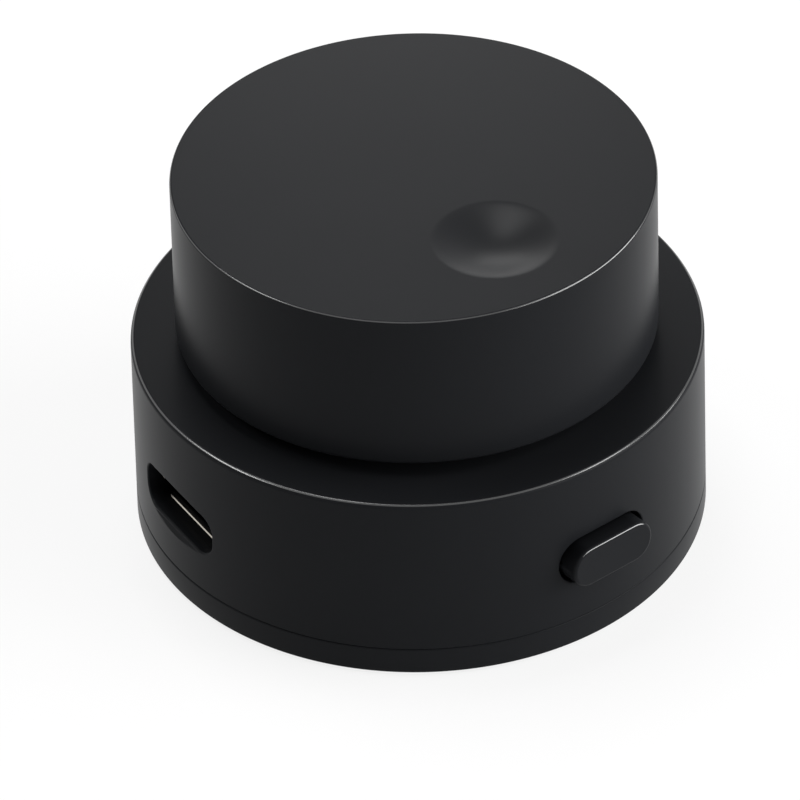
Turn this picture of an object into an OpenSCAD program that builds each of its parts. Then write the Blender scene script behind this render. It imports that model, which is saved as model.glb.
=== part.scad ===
// Round desk knob for volume: a drum-shaped base, a wide cap that turns without
// end and presses down, one side button and a recessed plug socket.
// Millimetres, +Z up. z = 0 is the table, the Z axis is the turning axis and the
// socket faces -X. Angles are counted from +X, anticlockwise seen from above.

/* [Drum base] */
// Diameter of the drum at its top edge
base_d = 60; // [56:0.5:72]
// Height of the deck above the table
deck_z = 22.25; // [21.5:0.25:30]
// How much wider in radius the drum is at its foot
base_draft = 0.2; // [0:0.05:0.6]
// Thickness of the drum's side wall
shell_wall = 2.3; // [1.8:0.1:2.8]
// Thickness of the deck
deck_t = 1.6; // [1.2:0.1:2.2]
// Radius of the rounded rim round the deck
rim_round = 0.5; // [0.3:0.1:1.4]
// Height of the seam between drum and bottom cover
seam_z = 3.4; // [3.2:0.1:5]
// Size of the bevel on both sides of the seam
seam_bevel = 0.15; // [0.05:0.05:0.3]

/* [Bottom cover] */
// Thickness of the cover plate
cover_t = 2; // [1.6:0.1:2.2]
// Height of the locating lip above the seam
lip_h = 2; // [1:0.1:2.6]
// Thickness of the locating lip
lip_t = 1.4; // [1:0.1:1.8]
// Radius of the rounded bottom edge
foot_round = 0.25; // [0.2:0.05:1]
// Thickness of the rubber pad
pad_t = 1; // [0.8:0.1:1.4]
// How far the pad stands below the cover
pad_proud = 0.3; // [0.2:0.05:0.5]
// Width of the cover's rim round the pad
pad_margin = 4; // [3:0.25:8]
// Thickness of the steel weight
ballast_t = 4; // [2:0.25:4.5]

/* [Screws] */
// Diameter of the bosses that take the cover screws
boss_d = 6; // [5:0.25:7]
// Angle of the first cover screw
cover_screw_angle = 108; // [100:1:112]
// Thread diameter of the cover screws
cover_screw_d = 2.5; // [2:0.1:3]
// Thread diameter of the board screws
board_screw_d = 2; // [1.6:0.1:2.4]
// Distance of the board screws from the centre
board_screw_reach = 20; // [17:0.25:20.5]

/* [Knob] */
// Diameter of the knob at its top
knob_d = 50.3; // [44:0.1:56]
// Height of the knob's side
knob_h = 18.15; // [15.5:0.25:24]
// Gap between deck and knob
knob_gap = 1.65; // [1:0.05:2.2]
// How much wider in radius the knob is at its lower edge
knob_draft = 0.1; // [0:0.05:0.4]
// Thickness of the knob's side wall
knob_wall = 2.2; // [1.6:0.1:3]
// Thickness of the knob's top
knob_top_t = 2.6; // [2.2:0.1:3.4]
// Bevel of the knob's top edge
knob_edge = 0.25; // [0.2:0.05:1]
// Diameter of the fingertip dimple
dimple_d = 13.4; // [10:0.1:16]
// Depth of the fingertip dimple
dimple_depth = 1.3; // [0.6:0.1:1.6]
// Distance of the dimple from the centre
dimple_reach = 14.15; // [9:0.05:15.5]
// Angle of the dimple at rest
dimple_angle = 274.2; // [0:0.2:359]

/* [Rotary encoder] */
// Width of the encoder's square body
encoder_w = 12; // [11:0.25:13]
// Height of the encoder between board and deck
encoder_h = 6.5; // [6.3:0.1:7]
// Outer diameter of the threaded bushing
bushing_d = 7; // [6.8:0.1:8]
// Length of the bushing above the encoder body
bushing_l = 5.5; // [5:0.1:6]
// Diameter of the shaft
shaft_d = 6; // [5.6:0.1:6]
// Height of the shaft's D section across the flat
shaft_across = 4.5; // [4:0.1:5]
// Travel of the knob when it is pressed
push_travel = 0.5; // [0.3:0.05:0.6]

/* [Socket] */
// Width of the slot in the drum
port_w = 13; // [12:0.1:14]
// Height of the slot in the drum
port_h = 5.1; // [5:0.1:6.2]
// Corner radius of the slot
port_round = 2; // [0.5:0.1:2.4]
// Depth of the slot down to the metal frame
port_depth = 2.5; // [2.2:0.1:3]
// Width of the receptacle's shell
socket_w = 8.94; // [8.5:0.02:9.5]
// Height of the receptacle's shell
socket_h = 3.26; // [3:0.02:3.5]
// Length of the receptacle's shell
socket_l = 7.3; // [6.5:0.1:8]

/* [Side button] */
// Angle of the side button
button_angle = 277.4; // [268:0.2:286]
// Width of the button's face
button_w = 10.4; // [8:0.1:12]
// Height of the button's face
button_h = 4.8; // [4:0.1:5.4]
// Corner radius of the button's face
button_round = 2.3; // [0.5:0.1:2.4]
// How far the button stands out of the drum's top radius
button_proud = 1.6; // [0.8:0.1:2]
// Gap at each end of the button
button_gap_w = 0.35; // [0.2:0.05:0.6]
// Gap above and below the button
button_gap_h = 0.45; // [0.15:0.05:0.5]
// Travel of the button
press_travel = 0.3; // [0.2:0.05:0.4]

/* [Circuit board] */
// Thickness of the board
board_t = 1.6; // [1:0.1:1.6]
// Gap between the board's edge and the drum's wall
board_gap = 1.1; // [0.8:0.1:1.6]
// Width of the square controller chip
chip_w = 7; // [5:0.5:8]

/* [Hidden] */
$fn = 96;

// Clearances, all named by what they keep apart
eps = 0.02;             // parts of one body that seat on each other
slip = 0.05;            // running fit of a shaft in its bore
loose = 0.2;            // parts that only have to clear each other
cut = 1;                // how far a cutter reaches past a face

// Heights of the drum, from the table up
base_r = base_d / 2;
deck_under = deck_z - deck_t;
board_top = deck_under - encoder_h;
board_under = board_top - board_t;
port_z = board_under - socket_h / 2;
plate_top = pad_t + cover_t;
lip_top = seam_z + lip_h;

// Radii of the drum
cavity_r = base_r - shell_wall;
lip_outer_r = cavity_r - loose;
lip_inner_r = lip_outer_r - lip_t;
pad_r = base_r - pad_margin;
head_hole_r = head_r(cover_screw_d) + 0.1;
boss_reach = pad_r - head_hole_r - 0.6;
board_r = cavity_r - board_gap;
cover_screw_bite = 6;
board_screw_bite = 4;
cover_screw_angles = [for (i = [0:2]) cover_screw_angle + 120 * i];
board_screw_angles = [48, 138, 318];

// Screw proportions as multiples of the thread
function head_r(thread_d) = 0.95 * thread_d;
function head_h(thread_d) = 0.6 * thread_d;

// Knob and shaft
knob_bottom = deck_z + knob_gap;
knob_top = knob_bottom + knob_h;
knob_under = knob_top - knob_top_t;
knob_inner_r = knob_d / 2 - knob_wall;
shaft_r = shaft_d / 2;
shaft_tip = knob_under - 1;
bushing_r = bushing_d / 2;
bushing_top = deck_under + bushing_l;
hub_bottom = bushing_top + push_travel + 0.5;
hub_r = shaft_r + 2.5;
hub_rib_h = 5;
hub_rib_z = knob_under - hub_rib_h;
washer_t = 0.5;
nut_t = 2;
nut_across = bushing_d + 3;

// Layers of the encoder, from the board up
dome_pocket_floor = board_top + 0.8;
encoder_base_h = 2;
encoder_base_top = board_top + encoder_base_h;
encoder_plate_t = 0.8;
encoder_plate_under = deck_under - encoder_plate_t;
rotor_floor = encoder_base_top + 0.5;
rotor_bottom = rotor_floor + 0.15;
rotor_top = encoder_plate_under - 0.25;
encoder_wall = 1.1;
rotor_r = encoder_w / 2 - encoder_wall;
drive_r = shaft_r - 0.5;
drive_flat = drive_r - 0.5;
drive_bottom = dome_pocket_floor + 0.65;
drive_top = rotor_top + push_travel + 0.15;
dome_top = drive_bottom - eps;
dome_r = 3;
pin_w = 0.8;
pin_t = 0.3;
pin_pitch = 2.5;
pin_notch = 1;
pin_reach = encoder_w / 2 + pin_notch;
pin_tip = board_under - 1.5;
leg_w = 2.4;
leg_t = 0.4;

// Socket, from the drum's skin inwards
port_skin = base_r + base_draft * (deck_z - port_z) / (deck_z - pad_proud);
frame_front = port_skin - port_depth;
frame_t = 0.6;
frame_lip = 0.12;
frame_corner = 0.3;
frame_border = 0.9;
frame_w = port_w + 2 * frame_border;
frame_h = port_h + 2 * frame_border;
socket_front = frame_front - frame_t - loose;
socket_wall = 0.3;
socket_round = socket_h / 2 - 0.1;
tongue_w = 6.69;
tongue_t = 0.7;
socket_contact_pitch = 0.5;
socket_legs = [for (x = [1.6, 5.6], side = [-1, 1]) [x - socket_front, side * (socket_w / 2 - 0.15)]];

// Button, measured outwards from the turning axis
hole_w = button_w + 2 * button_gap_w;
hole_h = button_h + 2 * button_gap_h;
flange_w = hole_w + 2;
button_corner = min(button_round, button_h / 2 - slip);
hole_corner = min(button_corner + button_gap_h, hole_h / 2 - slip);
flange_h = hole_h + 1.7;
flange_t = 1;
flange_face = sqrt(cavity_r * cavity_r - flange_w * flange_w / 4) - loose;
flange_back = flange_face - flange_t;
stem_l = 0.8;
plunger_out = 1.5;
plunger_w = 2.6;
plunger_h = 1.4;
switch_face = flange_back - stem_l - plunger_out;
switch_w = 6;
switch_l = 3;
switch_h = socket_h;
switch_cover_t = 0.2;
plunger_in = 1;

// Places of the small parts under the board, [x, y]
chip_place = [10.5, 6.8];
crystal_place = [11.5, -1];
regulator_place = [-13, -8];
capacitor_places = [[-15, 7], [-12, 7], [-17, -9], [-9, -12], [17.5, 4], [17.5, 8], [4, 12.5], [-3, 12.5]];
resistor_places = [[-9, 7], [-14, 2], [-14, -2], [-10, 2], [-10, -2], [4, -14], [-4, -14], [8, -9]];
capacitor_size = [1.6, 0.8, 0.8];
resistor_size = [1.6, 0.8, 0.5];
crystal_size = [3.2, 2.5, 0.8];
regulator_size = [2.9, 1.6, 1.1];
chip_t = 1.4;

// Radius of the drum's outer skin at height z
function skin(z) = base_r + base_draft * (deck_z - z) / (deck_z - pad_proud);

// Points along an arc about a centre, from angle a to angle b in n steps
function arc(centre, r, a, b, n = 8) =
    [for (i = [0:n]) centre + r * [cos(a + (b - a) * i / n), sin(a + (b - a) * i / n)]];

// Places its children round the Z axis at the given angles and reach
module ring(angles, reach) {
    for (a = angles)
        rotate([0, 0, a])
            translate([reach, 0, 0])
                children();
}

// Turns a part drawn facing -X at a height so that it faces the given angle
module facing(angle, z) {
    rotate([0, 0, angle - 180])
        translate([0, 0, z])
            children();
}

// A bar along X from x0 to x1 with a rounded rectangular section, w along Y, h along Z
module rounded_bar(x0, x1, w, h, r) {
    translate([x0, 0, 0])
        rotate([90, 0, 90])
            linear_extrude(x1 - x0)
                union() {
                    square([w - 2 * r, h], center = true);
                    square([w, h - 2 * r], center = true);
                    for (sy = [-1, 1], sz = [-1, 1])
                        translate([sy * (w / 2 - r), sz * (h / 2 - r)])
                            circle(r, $fn = 48);
                }
}

// A box along X from x0 to x1, centred in Y and Z
module bar(x0, x1, w, h) {
    translate([x0, -w / 2, -h / 2])
        cube([x1 - x0, w, h]);
}

// A cylinder cut flat so that its height across the flat is flat_at + r
module d_bar(z0, z1, r, flat_at) {
    difference() {
        translate([0, 0, z0])
            cylinder(r = r, h = z1 - z0);
        translate([-r - cut, flat_at, z0 - cut])
            cube([2 * (r + cut), r + cut, z1 - z0 + 2 * cut]);
    }
}

// A self-tapping screw with its head at the bottom and its thread up, head seat at z = 0
module screw(thread_d, length) {
    difference() {
        union() {
            translate([0, 0, -head_h(thread_d)])
                cylinder(r = head_r(thread_d), h = head_h(thread_d), $fn = 48);
            cylinder(r = thread_d / 2, h = length, $fn = 48);
        }
        for (a = [0, 90])
            rotate([0, 0, a])
                translate([-0.6 * thread_d, -0.12 * thread_d, -head_h(thread_d) - cut])
                    cube([1.2 * thread_d, 0.24 * thread_d, 0.35 * thread_d + cut]);
    }
}

module foot_pad() {
    color("#1a1a1a")
        rotate_extrude()
            polygon([[0, 0], [pad_r - 0.2, 0], [pad_r, 0.2], [pad_r, pad_t], [0, pad_t]]);
}

module bottom_cover() {
    screw_hole_r = cover_screw_d / 2 + 0.15;
    head_seat = pad_t + head_h(cover_screw_d) + 0.1;
    color("#1f2022")
        difference() {
            union() {
                rotate_extrude()
                    polygon(concat(
                        [[0, pad_t], [pad_r + slip, pad_t], [pad_r + slip, pad_proud]],
                        arc([skin(pad_proud) - foot_round, pad_proud + foot_round], foot_round, -90, 0),
                        [[skin(seam_z), seam_z - seam_bevel], [skin(seam_z) - seam_bevel, seam_z],
                         [lip_outer_r, seam_z], [lip_outer_r, lip_top], [lip_inner_r, lip_top],
                         [lip_inner_r, plate_top], [0, plate_top]]
                    ));
                ring(cover_screw_angles, boss_reach)
                    translate([0, 0, pad_t])
                        cylinder(d = boss_d, h = lip_top - pad_t);
            }
            ring(cover_screw_angles, boss_reach) {
                translate([0, 0, pad_t - cut])
                    cylinder(r = screw_hole_r, h = lip_top - pad_t + 2 * cut);
                translate([0, 0, pad_t - cut])
                    cylinder(r = head_hole_r, h = head_seat - pad_t + cut);
            }
        }
}

module cover_screws() {
    head_seat = pad_t + head_h(cover_screw_d) + 0.1;
    color("#b8bcc0")
        ring(cover_screw_angles, boss_reach)
            translate([0, 0, head_seat])
                screw(cover_screw_d, lip_top + cover_screw_bite - head_seat);
}

module ballast_plate() {
    color("#8b8f94")
        translate([0, 0, plate_top])
            difference() {
                cylinder(r = lip_inner_r - 1, h = ballast_t);
                ring(cover_screw_angles, boss_reach)
                    translate([0, 0, -cut])
                        cylinder(d = boss_d + 1, h = ballast_t + 2 * cut);
            }
}

module upper_housing() {
    bevel_r = skin(seam_z) - seam_bevel;
    corner_round = 0.8;
    color("#222326")
        difference() {
            union() {
                rotate_extrude()
                    polygon(concat(
                        [[0, deck_under]],
                        arc([cavity_r - corner_round, deck_under - corner_round], corner_round, 90, 0, 4),
                        [[cavity_r, seam_z], [bevel_r, seam_z], [skin(seam_z), seam_z + seam_bevel]],
                        arc([base_r - rim_round, deck_z - rim_round], rim_round, 0, 90),
                        [[0, deck_z]]
                    ));
                cover_bosses();
                board_posts();
            }
            translate([0, 0, deck_under - cut])
                cylinder(r = bushing_r + 0.1, h = deck_t + 2 * cut);
            ring(cover_screw_angles, boss_reach)
                translate([0, 0, lip_top - cut])
                    cylinder(r = cover_screw_d / 2 + eps, h = cover_screw_bite + 2 + cut);
            ring(board_screw_angles, board_screw_reach)
                translate([0, 0, board_top - cut])
                    cylinder(r = board_screw_d / 2 + eps, h = board_screw_bite + 1 + cut);
            facing(180, port_z) {
                rounded_bar(-base_r - 2, -cavity_r + 2, port_w, port_h, port_round);
                bar(-frame_front - eps, -cavity_r + 2, frame_w + loose, frame_h + loose);
            }
            facing(button_angle, port_z)
                rounded_bar(-base_r - 2, -cavity_r + 2, hole_w, hole_h, hole_corner);
        }
}

// Bosses for the cover screws, each tied to the wall by a web
module cover_bosses() {
    ring(cover_screw_angles, boss_reach) {
        translate([0, 0, lip_top])
            cylinder(d = boss_d, h = deck_under - lip_top + eps);
        translate([0, -0.8, lip_top + loose])
            cube([cavity_r - boss_reach + 0.5, 1.6, deck_under - lip_top - loose + eps]);
    }
}

// Posts under the deck that the board is screwed to, each stiffened by two ribs
module board_posts() {
    ring(board_screw_angles, board_screw_reach) {
        translate([0, 0, board_top])
            cylinder(r = board_screw_d / 2 + 1.6, h = encoder_h + eps);
        translate([0, -0.6, board_top + 2])
            cube([cavity_r - board_screw_reach + 0.5, 1.2, encoder_h - 2 + eps]);
    }
}

module circuit_board() {
    cut_z = board_under - cut;
    cut_h = board_t + 2 * cut;
    button_flat = flange_back - press_travel - 0.3;
    color("#1c5a36")
        difference() {
            translate([0, 0, board_under])
                cylinder(r = board_r, h = board_t);
            ring(cover_screw_angles, boss_reach)
                translate([-boss_d / 2 - 0.4, -boss_d / 2 - 0.4, cut_z])
                    cube([boss_d + 4, boss_d + 0.8, cut_h]);
            ring(board_screw_angles, board_screw_reach)
                translate([0, 0, cut_z])
                    cylinder(r = board_screw_d / 2 + 0.15, h = cut_h, $fn = 48);
            facing(button_angle, board_under + board_t / 2)
                bar(-base_r, -button_flat, flange_w + 1, cut_h);
            for (p = encoder_pin_places())
                translate([p[0], p[1], cut_z])
                    cylinder(r = 0.55, h = cut_h, $fn = 32);
            for (side = [-1, 1])
                translate([side * (encoder_w / 2 + leg_t / 2 + eps) - 0.35, -leg_w / 2 - 0.2, cut_z])
                    cube([0.7, leg_w + 0.4, cut_h]);
            for (p = socket_legs)
                translate([p[0], p[1], cut_z])
                    cylinder(r = 0.6, h = cut_h, $fn = 32);
        }
}

module board_screws() {
    color("#b8bcc0")
        ring(board_screw_angles, board_screw_reach)
            translate([0, 0, board_under])
                screw(board_screw_d, board_t + board_screw_bite);
}

// Three turn contacts on one side of the encoder and two press contacts on the other
function encoder_pin_places() =
    concat([for (i = [-1:1]) [i * pin_pitch, pin_reach]], [for (i = [-1, 1]) [i * pin_pitch, -pin_reach]]);

module encoder_base() {
    color("#23262b")
        difference() {
            translate([-encoder_w / 2, -encoder_w / 2, board_top])
                cube([encoder_w, encoder_w, encoder_base_top - board_top]);
            translate([0, 0, dome_pocket_floor])
                cylinder(r = dome_r + 0.3, h = encoder_base_top);
            for (p = encoder_pin_places())
                translate([p[0] - pin_w / 2 - eps, p[1] > 0 ? encoder_w / 2 - pin_notch : -encoder_w / 2 - cut,
                           dome_pocket_floor - eps])
                    cube([pin_w + 2 * eps, pin_notch + cut, pin_t + 2 * eps]);
        }
}

// The snap dome under the shaft, which the shaft flattens
module switch_dome() {
    sheet = 0.12;
    crown = dome_top - dome_pocket_floor - sheet;
    steps = 8;
    rim = [for (i = [0:steps]) [dome_r * i / steps, crown * (1 - pow(i / steps, 2))]];
    color("#c9ccd0")
        translate([0, 0, dome_pocket_floor + eps / 2])
            rotate_extrude()
                polygon(concat(
                    rim,
                    [for (i = [steps:-1:0]) rim[i] + [0, sheet]]
                ));
}

module encoder_body() {
    color("#23262b")
        difference() {
            translate([-encoder_w / 2, -encoder_w / 2, encoder_base_top])
                cube([encoder_w, encoder_w, encoder_plate_under - encoder_base_top]);
            translate([0, 0, rotor_floor])
                cylinder(r = rotor_r + loose, h = encoder_h);
            translate([0, 0, encoder_base_top - cut])
                cylinder(r = drive_r + loose, h = encoder_h);
        }
}

// The contact disc that the shaft turns and slides through, with code slots
module encoder_rotor() {
    slots = 20;
    color("#d8d4c8")
        difference() {
            translate([0, 0, rotor_bottom])
                cylinder(r = rotor_r, h = rotor_top - rotor_bottom);
            d_bar(rotor_bottom - cut, rotor_top + cut, drive_r + slip, drive_flat + slip);
            for (i = [0:slots - 1])
                rotate([0, 0, 360 * i / slots])
                    translate([rotor_r - 0.9, -0.25, rotor_top - 0.3])
                        cube([0.6, 0.5, 0.3 + cut]);
        }
}

// Metal top plate with its threaded bushing and the two legs that grip the board
module encoder_frame() {
    leg_x = encoder_w / 2 + eps;
    color("#a9adb2")
        difference() {
            union() {
                translate([-leg_x - leg_t, -encoder_w / 2, encoder_plate_under])
                    cube([2 * (leg_x + leg_t), encoder_w, encoder_plate_t]);
                translate([0, 0, deck_under - eps])
                    cylinder(r = bushing_r, h = bushing_l + eps);
                for (side = [0, 180])
                    rotate([0, 0, side])
                        translate([leg_x, -leg_w / 2, pin_tip])
                            cube([leg_t, leg_w, encoder_plate_under - pin_tip + eps]);
            }
            translate([0, 0, encoder_plate_under - cut])
                cylinder(r = shaft_r + slip, h = bushing_l + encoder_plate_t + 2 * cut);
        }
}

module encoder_terminals() {
    color("#c9b36a")
        for (p = encoder_pin_places()) {
            side = p[1] > 0 ? 1 : -1;
            seat = side * (encoder_w / 2 - 0.8);
            far = p[1] + side * pin_t / 2;
            translate([p[0] - pin_w / 2, min(seat, far), dome_pocket_floor])
                cube([pin_w, abs(far - seat), pin_t]);
            translate([p[0] - pin_w / 2, p[1] - pin_t / 2, pin_tip])
                cube([pin_w, pin_t, dome_pocket_floor - pin_tip + pin_t]);
        }
}

module encoder_shaft() {
    flat = shaft_across - shaft_r;
    color("#b4b7bb")
        union() {
            d_bar(drive_bottom, drive_top, drive_r, drive_flat);
            translate([0, 0, drive_top])
                cylinder(r = shaft_r, h = hub_bottom - drive_top);
            d_bar(hub_bottom, shaft_tip, shaft_r, flat);
        }
}

module bushing_washer() {
    color("#c3c6c9")
        translate([0, 0, deck_z])
            difference() {
                cylinder(d = nut_across + 1, h = washer_t);
                translate([0, 0, -cut])
                    cylinder(r = bushing_r + slip, h = washer_t + 2 * cut);
            }
}

module bushing_nut() {
    color("#c3c6c9")
        translate([0, 0, deck_z + washer_t])
            difference() {
                cylinder(d = nut_across / cos(30), h = nut_t, $fn = 6);
                translate([0, 0, -cut])
                    cylinder(r = bushing_r + slip, h = nut_t + 2 * cut);
            }
}

// Depth of the dimple at distance r from its middle: dished, with a soft rim
function dimple_fall(r) = dimple_depth * pow(1 - pow(2 * r / dimple_d, 2), 1.6);

module knob_cap() {
    knob_r = knob_d / 2;
    steps = 12;
    skirt_edge = 0.4;
    dish = [for (i = [0:steps]) [dimple_d / 2 * i / steps, -dimple_fall(dimple_d / 2 * i / steps)]];
    color("#262729")
        difference() {
            rotate_extrude()
                polygon(concat(
                    [[0, knob_under], [knob_inner_r, knob_under], [knob_inner_r, knob_bottom]],
                    arc([knob_r + knob_draft - skirt_edge, knob_bottom + skirt_edge], skirt_edge, -90, 0, 4),
                    arc([knob_r - knob_edge, knob_top - knob_edge], knob_edge, 0, 90, 4),
                    [[0, knob_top]]
                ));
            rotate([0, 0, dimple_angle])
                translate([dimple_reach, 0, knob_top])
                    rotate_extrude()
                        polygon(concat(dish, [[dimple_d / 2, cut], [0, cut]]));
        }
}

// Inner hub: a D-bored boss, a web and a ring inside the knob, stiffened by six ribs
module knob_hub() {
    ring_r = knob_inner_r - eps;
    ring_t = 1.4;
    web_t = 1.2;
    rib_t = 1.6;
    color("#2b2c2e")
        difference() {
            union() {
                rotate_extrude()
                    polygon([
                        [0, hub_bottom], [hub_r, hub_bottom], [hub_r, knob_under - web_t],
                        [ring_r - ring_t, knob_under - web_t], [ring_r - ring_t, hub_rib_z],
                        [ring_r, hub_rib_z], [ring_r, knob_under], [0, knob_under]
                    ]);
                for (a = [30:60:330])
                    rotate([0, 0, a])
                        translate([hub_r - 0.5, -rib_t / 2, hub_rib_z + 1])
                            cube([ring_r - ring_t / 2 - hub_r + 0.5, rib_t, knob_under - web_t / 2 - hub_rib_z - 1]);
            }
            d_bar(hub_bottom - cut, shaft_tip + 0.5, shaft_r + eps, shaft_across - shaft_r + eps);
        }
}

// Pressed steel frame behind the slot, whose lower lip catches the light
module port_frame() {
    window_w = port_w - 2 * frame_lip;
    window_h = port_h - 2 * frame_lip;
    color("#8d9094")
        facing(180, port_z)
            difference() {
                bar(-frame_front, -frame_front + frame_t, frame_w, frame_h);
                rounded_bar(-frame_front - cut, -frame_front + frame_t + cut, window_w, window_h, frame_corner);
            }
}

module socket_shell() {
    color("#b9bcc0")
        facing(180, port_z)
            union() {
                difference() {
                    rounded_bar(-socket_front, -socket_front + socket_l, socket_w, socket_h - eps,
                                socket_round);
                    rounded_bar(-socket_front - cut, -socket_front + socket_l + cut,
                                socket_w - 2 * socket_wall, socket_h - 2 * socket_wall,
                                socket_round - socket_wall);
                }
                for (p = socket_legs)
                    translate([p[0] - 0.4, p[1] - 0.15, 0])
                        cube([0.8, 0.3, socket_h / 2 + board_t]);
            }
}

module socket_tongue() {
    inner_w = socket_w - 2 * socket_wall - 2 * eps;
    inner_h = socket_h - 2 * socket_wall - 2 * eps;
    back = -socket_front + socket_l;
    color("#2a2b2d")
        facing(180, port_z)
            union() {
                rounded_bar(back - 2, back, inner_w, inner_h, inner_h / 2 - 0.1);
                bar(-socket_front + 1, back - 2 + eps, tongue_w, tongue_t);
            }
}

module socket_contacts() {
    finger = [3.6, 0.25, 0.08];
    count = 12;
    color("#c9a64a")
        facing(180, port_z)
            for (i = [0:count - 1], side = [-1, 1])
                translate([-socket_front + 1.3, (i - (count - 1) / 2) * socket_contact_pitch - finger[1] / 2,
                           side * (tongue_t / 2 + finger[2] / 2) - finger[2] / 2])
                    cube(finger);
}

module side_button() {
    face = base_r + button_proud;
    stem_w = 3;
    stem_h = 2;
    color("#242528")
        facing(button_angle, port_z)
            union() {
                rounded_bar(-face, -flange_face, button_w, button_h, button_corner);
                rounded_bar(-flange_face - eps, -flange_back, flange_w, flange_h, 1);
                bar(-flange_back - eps, -flange_back + stem_l, stem_w, stem_h);
            }
}

module button_plunger() {
    tip = flange_back - stem_l;
    color("#d8d4c8")
        facing(button_angle, port_z)
            bar(-tip, -switch_face + plunger_in, plunger_w, plunger_h);
}

module button_switch_body() {
    color("#1d1f22")
        facing(button_angle, port_z)
            difference() {
                bar(-switch_face, -switch_face + switch_l, switch_w, switch_h - eps);
                bar(-switch_face - cut, -switch_face + plunger_in + press_travel + 0.2,
                    plunger_w + loose, plunger_h + loose);
            }
}

// Sheet cover over the front and both ends of the button's switch
module button_switch_cover() {
    outer_w = switch_w + 2 * switch_cover_t + 2 * eps;
    color("#b9bcc0")
        facing(button_angle, port_z)
            difference() {
                bar(-switch_face - switch_cover_t - eps, -switch_face + switch_l * 0.7, outer_w, switch_h - 2 * eps);
                bar(-switch_face - eps, -switch_face + switch_l, switch_w + 2 * eps, switch_h);
                bar(-switch_face - cut, -switch_face + cut, plunger_w + 2 * loose, plunger_h + 2 * loose);
            }
}

// A block hung under the board at a place, with its size
module under_board(place, size) {
    translate([place[0] - size[0] / 2, place[1] - size[1] / 2, board_under - size[2]])
        cube(size);
}

module controller_chip() {
    lead = [0.3, 0.8, 0.2];
    per_side = 8;
    pitch = 0.8;
    body_w = chip_w - 0.4;
    color("#1b1c1e")
        union() {
            under_board(chip_place, [body_w, body_w, chip_t]);
            for (side = [0:90:270], i = [0:per_side - 1])
                translate([chip_place[0], chip_place[1], board_under - lead[2]])
                    rotate([0, 0, side])
                        translate([(i - (per_side - 1) / 2) * pitch * chip_w / 7 - lead[0] / 2,
                                   body_w / 2 - 0.1, 0])
                            cube(lead);
        }
}

module crystal() {
    color("#c5c8cb")
        under_board(crystal_place, crystal_size);
}

module voltage_regulator() {
    color("#1b1c1e")
        union() {
            under_board(regulator_place, regulator_size);
            for (x = [-0.95, 0.95])
                under_board(regulator_place + [x, -1.1], [0.4, 0.8, 0.2]);
            under_board(regulator_place + [0, 1.1], [0.4, 0.8, 0.2]);
        }
}

module capacitors() {
    color("#9a7b55")
        for (p = capacitor_places)
            under_board(p, capacitor_size);
}

module resistors() {
    color("#2c2d30")
        for (p = resistor_places)
            under_board(p, resistor_size);
}

foot_pad();
bottom_cover();
cover_screws();
ballast_plate();
upper_housing();
circuit_board();
board_screws();
encoder_base();
switch_dome();
encoder_body();
encoder_rotor();
encoder_frame();
encoder_terminals();
encoder_shaft();
bushing_washer();
bushing_nut();
knob_cap();
knob_hub();
port_frame();
socket_shell();
socket_tongue();
socket_contacts();
side_button();
button_plunger();
button_switch_body();
button_switch_cover();
controller_chip();
crystal();
voltage_regulator();
capacitors();
resistors();
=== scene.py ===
"""Desk volume knob: the visible shells, the finishes, the studio and the camera.

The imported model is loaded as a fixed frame. The shells that show are modelled again here with
fine rims, fillets and a soft dimple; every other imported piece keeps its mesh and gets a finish.
Sizes in this script are millimetres unless a name says otherwise, and meshes are made in metres.
"""

import logging
import math
from dataclasses import dataclass
from enum import Enum
from typing import Callable, Iterable, Optional

import bmesh
import bpy
from mathutils import Matrix, Vector

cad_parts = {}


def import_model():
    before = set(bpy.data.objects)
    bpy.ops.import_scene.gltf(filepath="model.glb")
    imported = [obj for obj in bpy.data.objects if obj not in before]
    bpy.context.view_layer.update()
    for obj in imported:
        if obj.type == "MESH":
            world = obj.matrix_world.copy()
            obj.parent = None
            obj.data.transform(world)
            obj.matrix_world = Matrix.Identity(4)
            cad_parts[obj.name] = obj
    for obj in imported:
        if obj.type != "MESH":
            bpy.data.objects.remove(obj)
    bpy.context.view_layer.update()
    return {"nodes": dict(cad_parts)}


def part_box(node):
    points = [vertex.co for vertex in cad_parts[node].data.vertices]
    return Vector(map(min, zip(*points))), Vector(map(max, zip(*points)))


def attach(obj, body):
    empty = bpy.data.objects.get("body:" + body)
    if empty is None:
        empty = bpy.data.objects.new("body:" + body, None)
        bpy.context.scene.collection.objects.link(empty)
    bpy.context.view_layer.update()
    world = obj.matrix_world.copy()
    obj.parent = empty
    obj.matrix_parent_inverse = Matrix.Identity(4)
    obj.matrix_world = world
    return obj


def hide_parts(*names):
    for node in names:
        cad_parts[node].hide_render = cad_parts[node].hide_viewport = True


LOG = logging.getLogger("desk_knob")
MM = 0.001

# Where the socket's slot and the side button face, in degrees from +X.
SOCKET_ANGLE = 180.0
BUTTON_ANGLE = 277.4

# The colour and gloss of moulded parts drift over about this distance.
DRIFT_MM = 18.0
# Marks in a metal move its gloss by the first share and darken its colour to the second.
MARK_GLOSS_SHARE = 0.2
MARK_DARK_SHARE = 0.85
# Sockets of Blender's Mix node when it mixes colours.
MIX_FACTOR, MIX_FIRST, MIX_SECOND, MIX_RESULT = 0, 6, 7, 2
WHITE = (1.0, 1.0, 1.0, 1.0)

# Points nearer to each other than this are one point.
WELD_MM = 1e-4
# A point counts as on a turned wall, or on a flat face, within these distances.
ON_WALL_MM = 0.004
ON_FLAT_MM = 1e-3
# A hair's width: a line beside a sharp corner, and the slack where a flat top ends.
HAIR_MM = 0.01
# Width of the narrow band round an opening's fillet and inside the knob's rim.
EDGE_BAND_MM = 0.12
# The rows of a wall keep this far from its rounded edges.
ROW_GAP_MM = 0.1
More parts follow.
